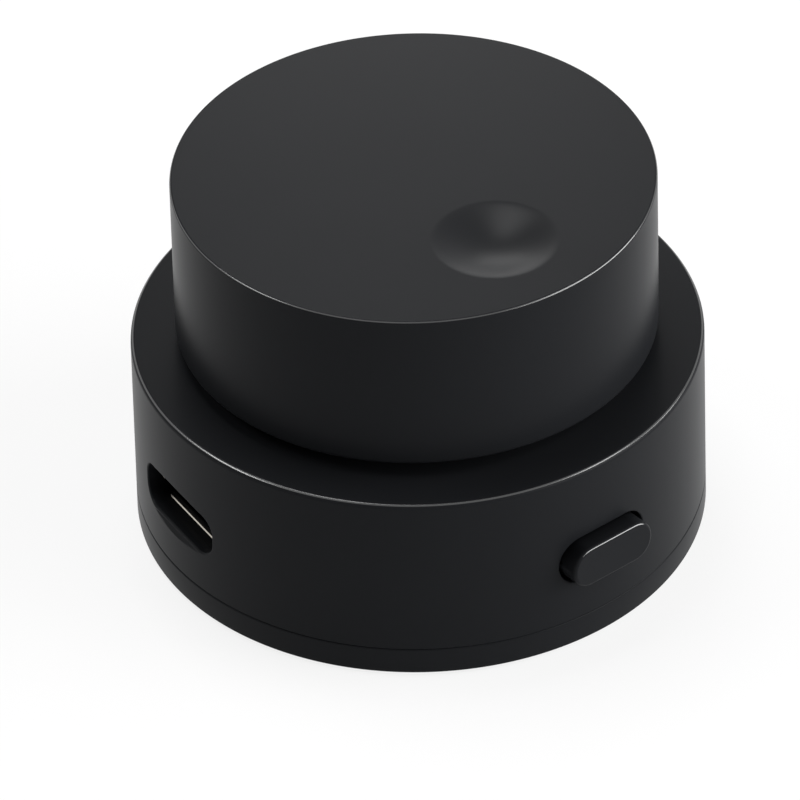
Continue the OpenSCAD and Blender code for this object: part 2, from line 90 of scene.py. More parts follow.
# The turned wall is opened this far round a window, and by this share of it up and down.
CUT_MARGIN_MM = 1.6
CUT_MARGIN_UP_SHARE = 0.75
# Points of a wall this far outside its inner skin belong to the outer one.
SKIN_SPLIT_MM = 0.5
FILLET_STEPS = 5

Colour = tuple[float, float, float, float]
Profile = list[tuple[float, float]]
Edges = list[bmesh.types.BMEdge]
Skin = Callable[[float], float]
Tree = bpy.types.NodeTree
Socket = bpy.types.NodeSocket
NormalRule = Callable[[Vector], Optional[Vector]]


def linear(hex_colour: str) -> Colour:
    """Turns an sRGB hex colour into linear RGBA.

    Args:
        hex_colour: six hex digits, such as "1d1e20".

    Returns:
        Linear red, green and blue, with an alpha of 1.
    """
    channels = [int(hex_colour[i : i + 2], 16) / 255 for i in (0, 2, 4)]
    r, g, b = [c / 12.92 if c <= 0.04045 else ((c + 0.055) / 1.055) ** 2.4 for c in channels]
    return (r, g, b, 1.0)


def toned(colour: Colour, share: float) -> Colour:
    """Makes a colour lighter or darker.

    Args:
        colour: linear RGBA.
        share: what red, green and blue are multiplied by.

    Returns:
        The new colour, with an alpha of 1.
    """
    r, g, b = [c * share for c in colour[:3]]
    return (r, g, b, 1.0)


def mm_box(node: str) -> tuple[Vector, Vector]:
    """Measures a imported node.

    Args:
        node: the node's name.

    Returns:
        Its lowest and highest corners, in millimetres.
    """
    low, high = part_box(node)
    return low / MM, high / MM


def quarter(
    centre: tuple[float, float], radius: float, start: float, end: float, steps: int = 6
) -> Profile:
    """Gives points along an arc of a profile.

    Args:
        centre: radius and height of the arc's centre.
        radius: the arc's radius.
        start: first angle in degrees, 0 outwards and 90 up.
        end: last angle in degrees.
        steps: how many straight steps stand for the arc.

    Returns:
        The points, first and last included.
    """
    angles = [math.radians(start + (end - start) * i / steps) for i in range(steps + 1)]
    return [(centre[0] + radius * math.cos(a), centre[1] + radius * math.sin(a)) for a in angles]


def direction(azimuth: float, elevation: float) -> Vector:
    """Gives the direction from the object to a lamp or to the camera.

    Args:
        azimuth: degrees round the object, 0 towards -Y and 90 towards +X.
        elevation: degrees above the table.

    Returns:
        A vector of length 1.
    """
    turn, tilt = math.radians(azimuth), math.radians(elevation)
    return Vector((math.sin(turn) * math.cos(tilt), -math.cos(turn) * math.cos(tilt), math.sin(tilt)))


def add_object(name: str, data: bpy.types.ID) -> bpy.types.Object:
    """Puts a mesh, a lamp or a camera into the scene.

    Args:
        name: the new object's name.
        data: what the object holds.

    Returns:
        The object, at the origin.
    """
    thing = bpy.data.objects.new(name, data)
    bpy.context.scene.collection.objects.link(thing)
    return thing


# ------------------------------
# Finishes
# ------------------------------


def add_node(
    tree: Tree, kind: str, links: Optional[dict] = None, **settings: object
) -> bpy.types.Node:
    """Adds one shader node.

    Args:
        tree: the node tree to add to.
        kind: the node's type name.
        links: input name or number to an output socket, or to a plain value.
        settings: the node's own properties.

    Returns:
        The new node.
    """
    node = tree.nodes.new(kind)
    for name, value in settings.items():
        setattr(node, name, value)
    for name, value in (links or {}).items():
        if isinstance(value, Socket):
            tree.links.new(value, node.inputs[name])
        else:
            node.inputs[name].default_value = value
    return node


def add_noise(tree: Tree, place: Socket, spacing_mm: float, detail: float) -> Socket:
    """Adds a noise whose spacing is a real size.

    Args:
        tree: the node tree to add to.
        place: where the noise is looked up, in metres.
        spacing_mm: the noise's spacing.
        detail: how many finer layers it has.

    Returns:
        The noise, from 0 to 1.
    """
    links = {"Vector": place, "Scale": 1 / (spacing_mm * MM), "Detail": detail}
    return add_node(tree, "ShaderNodeTexNoise", links).outputs["Fac"]


def add_range(tree: Tree, value: Socket, low: float, high: float) -> Socket:
    """Stretches a value from 0 to 1 over a range.

    Args:
        tree: the node tree to add to.
        value: the value.
        low: what 0 becomes.
        high: what 1 becomes.

    Returns:
        The stretched value.
    """
    links = {"Value": value, "To Min": low, "To Max": high}
    return add_node(tree, "ShaderNodeMapRange", links).outputs["Result"]


def add_mix(tree: Tree, factor: Socket, first: Colour, second: Colour) -> Socket:
    """Mixes two colours.

    Args:
        tree: the node tree to add to.
        factor: 0 for the first colour and 1 for the second.
        first: the first colour.
        second: the second colour.

    Returns:
        The mixed colour.
    """
    links = {MIX_FACTOR: factor, MIX_FIRST: first, MIX_SECOND: second}
    return add_node(tree, "ShaderNodeMix", links, data_type="RGBA").outputs[MIX_RESULT]


def add_bump(tree: Tree, height: Socket, depth_mm: float, strength: float = 1.0) -> Socket:
    """Adds a fine relief that is too small to model.

    Args:
        tree: the node tree to add to.
        height: the relief, from 0 to 1.
        depth_mm: its depth.
        strength: how much of it shows.

    Returns:
        The surface normal.
    """
    links = {"Strength": strength, "Distance": depth_mm * MM, "Height": height}
    return add_node(tree, "ShaderNodeBump", links).outputs["Normal"]


def start_material(name: str) -> tuple[bpy.types.Material, Tree, Socket]:
    """Makes an empty node material.

    Args:
        name: the material's name.

    Returns:
        The material, its node tree and the place on the object in metres.
    """
    material = bpy.data.materials.new(name)
    material.use_nodes = True
    tree = material.node_tree
    tree.nodes.clear()
    return material, tree, add_node(tree, "ShaderNodeTexCoord").outputs["Object"]


def end_material(tree: Tree, surface: Socket) -> None:
    """Makes a shader the material's surface."""
    add_node(tree, "ShaderNodeOutputMaterial", {"Surface": surface})


@dataclass(frozen=True)
class MouldedFinish:
    """A moulded, cast or painted surface with an even grain.

    The colour and gloss drift a little over the piece, as moulded parts do, and the grain is a
    shallow bump whose spacing is a real size.

    Attributes:
        name: the material's name.
        colour: sRGB, in six hex digits.
        roughness: the middle of its roughness.
        grain_mm: spacing of the grain.
        grain_depth_mm: depth of the grain.
        specular: level of the mirrored light, 0.5 for plain plastic.
        colour_drift: share by which the colour drifts to each side.
        gloss_drift: how far the roughness drifts to each side.
    """

    name: str
    colour: str
    roughness: float
    grain_mm: float
    grain_depth_mm: float
    specular: float = 0.5
    colour_drift: float = 0.12
    gloss_drift: float = 0.05

    def material(self) -> bpy.types.Material:
        """Builds the node material."""
        material, tree, place = start_material(self.name)
        grain = add_noise(tree, place, self.grain_mm, detail=2.0)
        drift = add_noise(tree, place, DRIFT_MM, detail=3.0)
        base = linear(self.colour)
        low, high = toned(base, 1 - self.colour_drift), toned(base, 1 + self.colour_drift)
        smooth, rough = self.roughness - self.gloss_drift, self.roughness + self.gloss_drift
        shader = add_node(
            tree,
            "ShaderNodeBsdfPrincipled",
            {
                "Base Color": add_mix(tree, drift, low, high),
                "Roughness": add_range(tree, drift, smooth, rough),
                "Normal": add_bump(tree, grain, self.grain_depth_mm),
                "Specular IOR Level": self.specular,
            },
        )
        end_material(tree, shader.outputs["BSDF"])
        return material


@dataclass(frozen=True)
class MetalFinish:
    """A plated, cast or rolled metal with fine marks along one direction.

    Attributes:
        name: the material's name.
        colour: sRGB, in six hex digits.
        roughness: the middle of its roughness.
        mark_mm: spacing of the marks.
        mark_depth_mm: depth of the marks.
        stretch: how much closer than that the marks lie along each axis.
    """

    name: str
    colour: str
    roughness: float
    mark_mm: float
    mark_depth_mm: float
    stretch: tuple[float, float, float] = (1.0, 1.0, 1.0)

    def material(self) -> bpy.types.Material:
        """Builds the node material. The metal keeps the default IOR."""
        material, tree, place = start_material(self.name)
        mapped = add_node(tree, "ShaderNodeMapping", {"Vector": place, "Scale": self.stretch})
        marks = add_noise(tree, mapped.outputs["Vector"], self.mark_mm, detail=3.0)
        base = linear(self.colour)
        smooth = self.roughness * (1 - MARK_GLOSS_SHARE)
        rough = self.roughness * (1 + MARK_GLOSS_SHARE)
        shader = add_node(
            tree,
            "ShaderNodeBsdfPrincipled",
            {
                "Base Color": add_mix(tree, marks, toned(base, MARK_DARK_SHARE), base),
                "Metallic": 1.0,
                "Roughness": add_range(tree, marks, smooth, rough),
                "Normal": add_bump(tree, marks, self.mark_depth_mm),
            },
        )
        end_material(tree, shader.outputs["BSDF"])
        return material


class Finish(Enum):
    """The finishes of this object, each named for its real material."""

    # Satin spray over the knob: a deep black whose gloss is low and very even.
    SATIN_KNOB = MouldedFinish("satin_black_lacquer", "1a1b1d", 0.33, 0.35, 0.0010, 0.045, 0.08, 0.03)
    # The knob's top takes more of the spray, so its gloss is higher.
    SATIN_TOP = MouldedFinish("satin_black_top", "1a1b1d", 0.33, 0.35, 0.0010, 0.08, 0.08, 0.03)
    # Fine spark-eroded ABS: the same black with a slightly livelier grain.
    BLACK_ABS = MouldedFinish("spark_eroded_black_abs", "1a1b1d", 0.34, 0.40, 0.0012, 0.045, 0.08, 0.03)
    # The rounded edges, where the mould is polished and the grain runs out.
    BRIGHT_EDGE = MouldedFinish("polished_mould_edge", "0f1012", 0.20, 0.40, 0.0004, 1.0, 0.08, 0.02)
    # Glass-filled nylon: rougher and greyer than ABS.
    BLACK_NYLON = MouldedFinish("glass_filled_nylon", "232427", 0.55, 0.25, 0.004)
    # Acetal for small sliding pieces: milky and waxy.
    IVORY_ACETAL = MouldedFinish("ivory_acetal", "dcd6c4", 0.38, 0.30, 0.002)
    # Silicone rubber: matt, with a fine pebble that grips the table.
    RUBBER = MouldedFinish("black_silicone_rubber", "161616", 0.85, 0.60, 0.015, 0.3)
    # Solder mask over copper and glass cloth: glossy green, with the cloth's weave just showing.
    SOLDER_MASK = MouldedFinish("green_solder_mask", "14502f", 0.28, 0.50, 0.004)
    # Moulded epoxy of chip bodies.
    CHIP_EPOXY = MouldedFinish("moulded_chip_epoxy", "1b1c1e", 0.6, 0.12, 0.003)
    # Fired barium titanate of capacitors.
    CAPACITOR = MouldedFinish("fired_capacitor_ceramic", "8f7048", 0.5, 0.10, 0.002)
    # Black glaze over resistors.
    RESISTOR = MouldedFinish("glazed_resistor_ceramic", "202124", 0.25, 0.10, 0.001)
    # Nickel-plated pressed steel: warm grey and fairly bright.
    NICKEL = MetalFinish("nickel_plated_steel", "b9b4aa", 0.32, 0.15, 0.0015)
    # Blackened steel of the socket's rim, whose cut lip shows the plating.
    BLACK_STEEL = MouldedFinish("blackened_steel", "0e0e0f", 0.4, 0.20, 0.001, 0.3)
    # Zinc-plated screws: cooler and duller.
    ZINC_PLATE = MetalFinish("zinc_plated_steel", "b4b8bc", 0.38, 0.20, 0.002)
    # Die-cast zinc of the shaft and bushing, turned afterwards.
    ZINC_CAST = MetalFinish("turned_zinc_casting", "a6a8aa", 0.35, 0.12, 0.002, (1.0, 1.0, 6.0))
    # Hot-rolled steel plate of the weight.
    ROLLED_STEEL = MetalFinish("rolled_mild_steel", "75777a", 0.5, 0.6, 0.006, (0.15, 1.0, 1.0))
    # Tinned brass pins.
    TINNED_BRASS = MetalFinish("tinned_brass", "cfc9b4", 0.3, 0.15, 0.001)
    # Gold flash over nickel.
    GOLD = MetalFinish("gold_flash_contact", "d8ae5c", 0.25, 0.10, 0.0008)


NODE_FINISHES: dict[str, Finish] = {
    "cover_screws": Finish.ZINC_PLATE,
    "ballast_plate": Finish.ROLLED_STEEL,
    "circuit_board": Finish.SOLDER_MASK,
    "board_screws": Finish.ZINC_PLATE,
    "encoder_base": Finish.BLACK_NYLON,
    "switch_dome": Finish.NICKEL,
    "encoder_body": Finish.BLACK_NYLON,
    "encoder_rotor": Finish.IVORY_ACETAL,
    "encoder_frame": Finish.ZINC_CAST,
    "encoder_terminals": Finish.TINNED_BRASS,
    "encoder_shaft": Finish.ZINC_CAST,
    "bushing_washer": Finish.NICKEL,
    "bushing_nut": Finish.NICKEL,
    "knob_hub": Finish.BLACK_NYLON,
    "socket_shell": Finish.NICKEL,
    "socket_tongue": Finish.BLACK_NYLON,
    "socket_contacts": Finish.GOLD,
    "button_plunger": Finish.IVORY_ACETAL,
    "button_switch_body": Finish.BLACK_NYLON,
    "button_switch_cover": Finish.NICKEL,
    "controller_chip": Finish.CHIP_EPOXY,
    "crystal": Finish.NICKEL,
    "voltage_regulator": Finish.CHIP_EPOXY,
    "capacitors": Finish.CAPACITOR,
    "resistors": Finish.RESISTOR,
}


class Paintshop:
    """Makes each finish once and puts it on pieces."""

    def __init__(self) -> None:
        """Starts with no finish made."""
        self.made: dict[Finish, bpy.types.Material] = {}

    def material(self, finish: Finish) -> bpy.types.Material:
        """Gives a finish's material, made at its first use."""
        if finish not in self.made:
            self.made[finish] = finish.value.material()
        return self.made[finish]

    def dress(self, piece: bpy.types.Object, finish: Finish) -> None:
        """Puts a finish on a piece, in all its slots.

        Args:
            piece: the object to dress.
            finish: the finish to put on it.
        """
        material = self.material(finish)
        if not piece.material_slots:
            piece.data.materials.append(material)
        for slot in piece.material_slots:
            slot.material = material

    def accent(
        self, piece: bpy.types.Object, finish: Finish, chosen: Callable[[Vector, Vector], bool]
    ) -> None:
        """Puts another finish on the faces that a test picks.

        Args:
            piece: the dressed object.
            finish: the other finish.
            chosen: says whether a face with this middle in millimetres and this normal gets it.
        """
        piece.data.materials.append(self.material(finish))
        index = len(piece.data.materials) - 1
        for polygon in piece.data.polygons:
            if chosen(polygon.center / MM, polygon.normal):
                polygon.material_index = index


# ------------------------------
# Shell building
# ------------------------------


@dataclass(frozen=True)
class Window:
    """A rounded rectangular opening through the drum's wall.

    Attributes:
        angle: where it faces, in degrees from +X.
        height: the height of its middle.
        width: its width.
        tall: its height.
        round: its corner radius.
        fillet: radius of the softened outer edge.
    """

    angle: float
    height: float
    width: float
    tall: float
    round: float
    fillet: float = 0.0

    def turn(self) -> Matrix:
        """Gives the turn from a window that faces +X to this one."""
        return Matrix.Rotation(math.radians(self.angle), 4, "Z")

    def outline(self, grow: float, corner_steps: int = 8) -> list[tuple[float, float]]:
        """Gives the opening's outline, moved outwards.

        Args:
            grow: how far outside the opening the outline runs.
            corner_steps: steps in each corner.

        Returns:
            Points across and up from the opening's middle.
        """
        radius = self.round + grow
        across = self.width / 2 - self.round
        up = self.tall / 2 - self.round
        points = []
        for side_x, side_z, start in ((1, 1, 0), (-1, 1, 90), (-1, -1, 180), (1, -1, 270)):
            points += quarter((side_x * across, side_z * up), radius, start, start + 90, corner_steps)
        return points


class Shell:
    """A closed mesh under construction, in millimetres until it is finished."""

    def __init__(self, steps: int = 240) -> None:
        """Starts an empty mesh.

        Args:
            steps: how many steps a full turn takes.
        """
        self.bm = bmesh.new()
        self.steps = steps

    def spin(self, profile: Profile) -> None:
        """Turns a profile round the Z axis.

        Args:
            profile: radius and height points, open or closed, with radius 0 at the poles.
        """
        verts = [self.bm.verts.new((r, 0, z)) for r, z in profile]
        edges = [self.bm.edges.new(pair) for pair in zip(verts, verts[1:])]
        bmesh.ops.spin(
            self.bm,
            geom=verts + edges,
            cent=(0, 0, 0),
            axis=(0, 0, 1),
            angle=math.tau,
            steps=self.steps,
            use_merge=True,
            use_duplicate=False,
        )
        bmesh.ops.remove_doubles(self.bm, verts=self.bm.verts, dist=WELD_MM)

    def loop(self, points: Iterable[Vector]) -> Edges:
        """Adds a closed loop of edges through points."""
        verts = [self.bm.verts.new(p) for p in points]
        return [self.bm.edges.new((a, b)) for a, b in zip(verts, verts[1:] + verts[:1])]

    def bridge(self, first: Edges, second: Edges) -> None:
        """Joins two loops with faces."""
        bmesh.ops.bridge_loops(self.bm, edges=first + second)

    def chain(self, loops: list[Edges]) -> None:
        """Joins each loop to the next one with faces."""
        for first, second in zip(loops, loops[1:]):
            self.bridge(first, second)

    def fill(self, edges: Edges) -> None:
        """Fills a flat outline, or the space between two, with triangles."""
        bmesh.ops.triangle_fill(self.bm, use_beauty=True, use_dissolve=False, edges=edges)

    def punch(self, keep_out: Callable[[Vector], bool]) -> Edges:
        """Deletes the faces whose middle is in a region and gives the rim that is left.

        Args:
            keep_out: says whether a point is in the region.

        Returns:
            The open edges round the region.
        """
        gone = [f for f in self.bm.faces if keep_out(f.calc_center_median())]
        bmesh.ops.delete(self.bm, geom=gone, context="FACES")
        return [e for e in self.bm.edges if e.is_boundary and len(e.link_faces) == 1]

    def window(self, window: Window, skin: Skin, inner: float) -> None:
        """Cuts a filleted opening through the wall.

        Args:
            window: the opening.
            skin: outer radius at a height.
            inner: inner radius of the wall.
        """
        turn = window.turn()
        back = turn.inverted()
        half_width = window.width / 2 + CUT_MARGIN_MM
        half_tall = window.tall / 2 + CUT_MARGIN_MM * CUT_MARGIN_UP_SHARE

        def near(point: Vector, outer: bool) -> bool:
            """Says whether a point of one skin lies over the opening or its margin."""
            local = back @ point
            is_outer = math.hypot(local.x, local.y) > inner + SKIN_SPLIT_MM
            return (
                is_outer == outer
                and local.x > 0
                and abs(local.y) < half_width
                and abs(local.z - window.height) < half_tall
            )

        def ring(grow: float, sink: float, radius: Optional[float] = None) -> Edges:
            """Adds the grown outline on the skin or on a cylinder, sunk along its axis."""
            points = []
            for across, up in window.outline(grow):
                z = window.height + up
                reach = skin(z) if radius is None else radius
                points.append(turn @ Vector((math.sqrt(reach**2 - across**2) - sink, across, z)))
            return self.loop(points)

        outer_rim = self.punch(lambda p: near(p, True))
        inner_rim = [e for e in self.punch(lambda p: near(p, False)) if e not in outer_rim]
        loops = [ring(window.fillet + EDGE_BAND_MM, 0)]
        for i in range(FILLET_STEPS + 1):
            angle = math.radians(90 * i / FILLET_STEPS)
            grow = window.fillet * (1 - math.sin(angle))
            loops.append(ring(grow, window.fillet * (1 - math.cos(angle))))
        loops.append(ring(0, 0, inner))
        self.bridge(outer_rim, loops[0])
        self.chain(loops)
        self.bridge(loops[-1], inner_rim)

    def finish(self, name: str, skins: Iterable[NormalRule] = ()) -> bpy.types.Object:
        """Closes the mesh and makes it an object in metres.

        Args:
            name: the object's name.
            skins: functions that give the true normal at a point on a turned or flat surface,
                or None elsewhere.

        Returns:
            The object, at the origin.
        """
        bmesh.ops.remove_doubles(self.bm, verts=self.bm.verts, dist=WELD_MM)
        bmesh.ops.recalc_face_normals(self.bm, faces=self.bm.faces)
        for face in self.bm.faces:
            face.smooth = True
        open_edges = sum(not e.is_manifold for e in self.bm.edges)
        LOG.info("%s: %d faces, %d open edges", name, len(self.bm.faces), open_edges)
        mesh = bpy.data.meshes.new(name)
        self.bm.to_mesh(mesh)
        self.bm.free()
        normals = []
        for vert, normal in zip(mesh.vertices, mesh.vertex_normals):
            true_normal = next((n for n in (skin(vert.co) for skin in skins) if n is not None), None)
            normals.append(true_normal or normal.vector.copy())
        mesh.normals_split_custom_set_from_vertices(normals)
        mesh.transform(Matrix.Scale(MM, 4))
        return add_object(name, mesh)


def wall_normal(low: float, high: float, skin: Skin) -> NormalRule:
    """Makes a function that gives the normal of a turned wall between two heights."""

    def normal(point: Vector) -> Optional[Vector]:
        """Gives the outward normal where the point is on the wall."""
        radius = math.hypot(point.x, point.y)
        if low <= point.z <= high and abs(radius - skin(point.z)) < ON_WALL_MM:
            return Vector((point.x, point.y, 0)).normalized()
        return None

    return normal


def flat_normal(height: float, within: float) -> NormalRule:
    """Makes a function that gives the upward normal on a flat top inside a radius."""

    def normal(point: Vector) -> Optional[Vector]:
        """Gives +Z where the point is on the top."""
        on_top = abs(point.z - height) < ON_FLAT_MM and math.hypot(point.x, point.y) < within
        return Vector((0, 0, 1)) if on_top else None

    return normal


# ------------------------------
# Sub-assemblies
# ------------------------------


@dataclass
class Drum:
    """The drum-shaped base: upper housing with slot and button hole, and the bottom cover.

    A draft is how much wider a wall is at its foot, in radius. Bands are the narrow flat strips
    beside a rounded edge or a hole. The bright slope is the upward share of the normals of the
    faces that get the bright edge.
    """

    rim_round: float = 0.5
    seam_bevel: float = 0.15
    wall: float = 2.3
    deck: float = 1.6
    foot_round: float = 0.25
    draft: float = 0.2
    slot_width: float = 13.0
    slot_tall: float = 5.1
    slot_round: float = 2.0
    hole_width: float = 11.1
    hole_tall: float = 5.7
    hole_round: float = 2.75
    edge_fillet: float = 0.22
    bushing_hole: float = 3.6
    rim_band: float = 0.15
    hole_band: float = 0.25
    inner_steps: int = 17
    pad_radius: float = 26.0
    pad_edge: float = 0.25
    recess_top: float = 1.0
    recess_gap: float = 0.05
    recess_flare: float = 0.15
    recess_bevel: float = 0.1
    plate_thick: float = 2.0
    lip_gap: float = 0.2
    lip_thick: float = 1.4
    bright_slope: tuple[float, float] = (0.7, 0.9)

    def __post_init__(self) -> None:
        """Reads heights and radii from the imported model."""
        housing_low, housing_high = mm_box("upper_housing")
        cover_low, cover_high = mm_box("bottom_cover")
        tongue_low, tongue_high = mm_box("socket_tongue")
        self.seam = housing_low.z
        self.top = housing_high.z
        self.foot = cover_low.z
        self.lip_top = cover_high.z
        self.top_radius = cover_high.x - self.draft
        self.inner = self.top_radius - self.wall
        self.port_height = (tongue_low.z + tongue_high.z) / 2

    def skin(self, z: float) -> float:
        """Gives the drum's outer radius at a height."""
        return self.top_radius + self.draft * (self.top - z) / (self.top - self.foot)

    def wall_rows(self, low: float, high: float, step: float = 1.0) -> Profile:
        """Gives evenly spaced points up the drafted wall."""
        count = max(1, round((high - low) / step))
        heights = [low + (high - low) * i / count for i in range(count + 1)]
        return [(self.skin(z), z) for z in heights]

    def build_housing(self) -> bpy.types.Object:
        """Builds the upper housing as one closed shell with its three openings."""
        shell = Shell()
        under = self.top - self.deck
        hole, bevel = self.bushing_hole, self.seam_bevel
        rim_low = self.top - self.rim_round
        rim_inner = self.top_radius - self.rim_round
        rim = quarter((rim_inner, rim_low), self.rim_round, 0, 90, 8)
        outer_rows = self.wall_rows(self.seam + bevel + ROW_GAP_MM, rim_low - ROW_GAP_MM)
        inner_rows = [
            (self.inner, self.seam + (under - self.seam) * (1 - i / self.inner_steps))
            for i in range(self.inner_steps - 1, 0, -1)
        ]
        profile = (
            [(hole, under), (hole, self.top), (hole + HAIR_MM, self.top)]
            + [(hole + self.hole_band, self.top), (rim_inner - self.rim_band, self.top)]
            + rim[::-1]
            + outer_rows[::-1]
            + [(self.skin(self.seam + bevel), self.seam + bevel)]
            + [(self.skin(self.seam) - bevel, self.seam), (self.inner, self.seam)]
            + inner_rows
            + [(self.inner, under), (hole, under)]
        )
        shell.spin(profile)
        height, fillet = self.port_height, self.edge_fillet
        for window in (
            Window(SOCKET_ANGLE, height, self.slot_width, self.slot_tall, self.slot_round, fillet),
            Window(BUTTON_ANGLE, height, self.hole_width, self.hole_tall, self.hole_round, fillet),
        ):
            shell.window(window, self.skin, self.inner)
        skins = (
            wall_normal(self.seam + bevel, rim_low, self.skin),
            flat_normal(self.top, rim_inner + HAIR_MM),
        )
        return shell.finish("drum_housing", skins)

    def build_cover(self) -> bpy.types.Object:
        """Builds the bottom cover with its rounded foot, pad recess and locating lip."""
        shell = Shell()
        bevel = self.seam_bevel
        foot_high = self.foot + self.foot_round
        foot = quarter((self.skin(self.foot) - self.foot_round, foot_high), self.foot_round, -90, 0, 6)
        mouth = self.pad_radius + self.recess_gap
        plate = self.recess_top + self.plate_thick
        lip_outer = self.inner - self.lip_gap
        lip_inner = lip_outer - self.lip_thick
        profile = (
            [(0, self.recess_top), (mouth, self.recess_top), (mouth, self.foot + self.recess_bevel)]
            + [(self.pad_radius + self.recess_flare, self.foot)]
            + foot
            + [(self.skin(self.seam - bevel), self.seam - bevel)]
            + [(self.skin(self.seam) - bevel, self.seam), (lip_outer, self.seam)]
            + [(lip_outer, self.lip_top), (lip_inner, self.lip_top)]
            + [(lip_inner, plate), (0, plate)]
        )
        shell.spin(profile)
        skins = (wall_normal(foot_high, self.seam - bevel, self.skin),)
        return shell.finish("drum_bottom_cover", skins)

    def build_pad(self) -> bpy.types.Object:
        """Builds the rubber pad with a softened edge."""
        shell = Shell(steps=160)
        low, high = mm_box("foot_pad")
        edge = self.pad_edge
        profile = (
            [(0, low.z)]
            + quarter((high.x - edge, low.z + edge), edge, -90, 0, 4)
            + [(high.x, high.z), (0, high.z)]
        )
        shell.spin(profile)
        return shell.finish("rubber_foot_pad")

    def make(self, paint: Paintshop) -> None:
        """Builds and dresses the drum's pieces."""
        for piece, node, finish in (
            (self.build_housing(), "upper_housing", Finish.BLACK_ABS),
            (self.build_cover(), "bottom_cover", Finish.BLACK_ABS),
            (self.build_pad(), "foot_pad", Finish.RUBBER),
        ):
            paint.dress(piece, finish)
            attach(piece, "base")
            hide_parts(node)
            if node == "upper_housing":
                paint.accent(piece, Finish.BRIGHT_EDGE, self.on_rim)
            LOG.info("built %s for %s", piece.name, node)

    def on_rim(self, middle: Vector, normal: Vector) -> bool:
        """Says whether a face is in the middle of the deck's rounded rim."""
        low, high = self.bright_slope
        outside = math.hypot(middle.x, middle.y) > self.top_radius - self.rim_round
        return middle.z > self.top - self.rim_round and outside and low < normal.z < high


@dataclass
class Knob:
    """The wide cap with its crisp rim and the soft fingertip dimple.

    The rows are those of the faces up the wall. The dimple's power says how softly its rim runs
    out, its reach how far its middle lies from the turning axis, and its border how wide the flat
    ring round it is, as a share of its radius.
    """

    top_edge: float = 0.25
    skirt_edge: float = 0.4
    mouth_bevel: float = 0.1
    draft: float = 0.1
    wall: float = 2.2
    top_thick: float = 2.6
    row_step: float = 2.1
    row_count: int = 9
    row_clear: float = 0.3
    dimple_width: float = 13.4
    dimple_depth: float = 1.3
    dimple_power: float = 1.6
    dimple_reach: float = 14.15
    dimple_angle: float = 274.2
    dimple_border: float = 1.01
    dimple_around: int = 96
    dimple_rings: int = 16
    bright_slope: tuple[float, float] = (0.6, 0.9)
    top_slope: float = 0.5
    top_slack: float = 0.05

    def __post_init__(self) -> None:
        """Reads the knob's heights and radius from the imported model."""
        low, high = mm_box("knob_cap")
        self.bottom = low.z
        self.top = high.z
        self.radius = high.x - self.draft

    def skin(self, z: float) -> float:
        """Gives the knob's outer radius at a height."""
        return self.radius + self.draft * (self.top - z) / (self.top - self.bottom)

    def dimple_fall(self, share: float) -> float:
        """Gives the dimple's depth at a share of its radius: dished, with a soft rim."""
        return self.dimple_depth * (1 - share**2) ** self.dimple_power

    def on_rim(self, middle: Vector, normal: Vector) -> bool:
        """Says whether a face is in the middle of the cap's rounded rim."""
        low, high = self.bright_slope
        outside = math.hypot(middle.x, middle.y) > self.radius - self.top_edge
        return middle.z > self.top - self.top_edge and outside and low < normal.z < high

    def on_top(self, middle: Vector, normal: Vector) -> bool:
        """Says whether a face is on the cap's flat top or in its dimple."""
        inside = math.hypot(middle.x, middle.y) < self.radius - self.top_edge
        lowest = self.top - self.dimple_depth - self.top_slack
        return inside and middle.z > lowest and normal.z > self.top_slope

    def build_cap(self) -> bpy.types.Object:
        """Builds the cap as one closed shell, open below."""
        shell = Shell(steps=288)
        under = self.top - self.top_thick
        inner = self.radius - self.wall
        rim_low = self.top - self.top_edge
        rim_inner = self.radius - self.top_edge
        rim = quarter((rim_inner, rim_low), self.top_edge, 0, 90, 6)
        skirt_high = self.bottom + self.skirt_edge
        skirt = quarter((self.skin(self.bottom) - self.skirt_edge, skirt_high), self.skirt_edge, -90, 0, 5)
        rows = [skirt_high + ROW_GAP_MM + i * self.row_step for i in range(self.row_count)]
        profile = (
            [(0, under), (inner, under), (inner, self.bottom + self.mouth_bevel)]
            + [(inner + self.mouth_bevel, self.bottom)]
            + skirt
            + [(self.skin(z), z) for z in rows if z < rim_low - self.row_clear]
            + rim
            + [(rim_inner - EDGE_BAND_MM, self.top)]
        )
        shell.spin(profile)
        self.add_top(shell)
        skins = (
            wall_normal(skirt_high, rim_low, self.skin),
            flat_normal(self.top, rim_inner + HAIR_MM),
        )
        return shell.finish("knob_cap_shell", skins)

    def add_top(self, shell: Shell) -> None:
        """Closes the cap with its flat top and the dimple."""
        open_rim = [e for e in shell.bm.edges if e.is_boundary]
        angle = math.radians(self.dimple_angle)
        middle = Vector((self.dimple_reach * math.cos(angle), self.dimple_reach * math.sin(angle), 0))
        turns = [math.tau * i / self.dimple_around for i in range(self.dimple_around)]

        def circle(share: float, fall: float) -> Edges:
            """Adds a circle round the dimple's middle at a share of its radius."""
            reach = share * self.dimple_width / 2
            return shell.loop(
                middle + Vector((reach * math.cos(t), reach * math.sin(t), self.top - fall)) for t in turns
            )

        last = circle(self.dimple_border, 0)
        shell.fill(open_rim + last)
        for i in range(self.dimple_rings):
            share = 1 - i / self.dimple_rings
            ring = circle(share, self.dimple_fall(share))
            shell.bridge(last, ring)
            last = ring
        pole = bmesh.ops.extrude_edge_only(shell.bm, edges=last)
        for item in pole["geom"]:
            if isinstance(item, bmesh.types.BMVert):
                item.co = middle + Vector((0, 0, self.top - self.dimple_depth))

    def make(self, paint: Paintshop) -> None:
        """Builds and dresses the cap."""
        cap = self.build_cap()
        paint.dress(cap, Finish.SATIN_KNOB)
        paint.accent(cap, Finish.BRIGHT_EDGE, self.on_rim)
        paint.accent(cap, Finish.SATIN_TOP, self.on_top)
        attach(cap, "knob")
        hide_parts("knob_cap")
        LOG.info("built %s", cap.name)


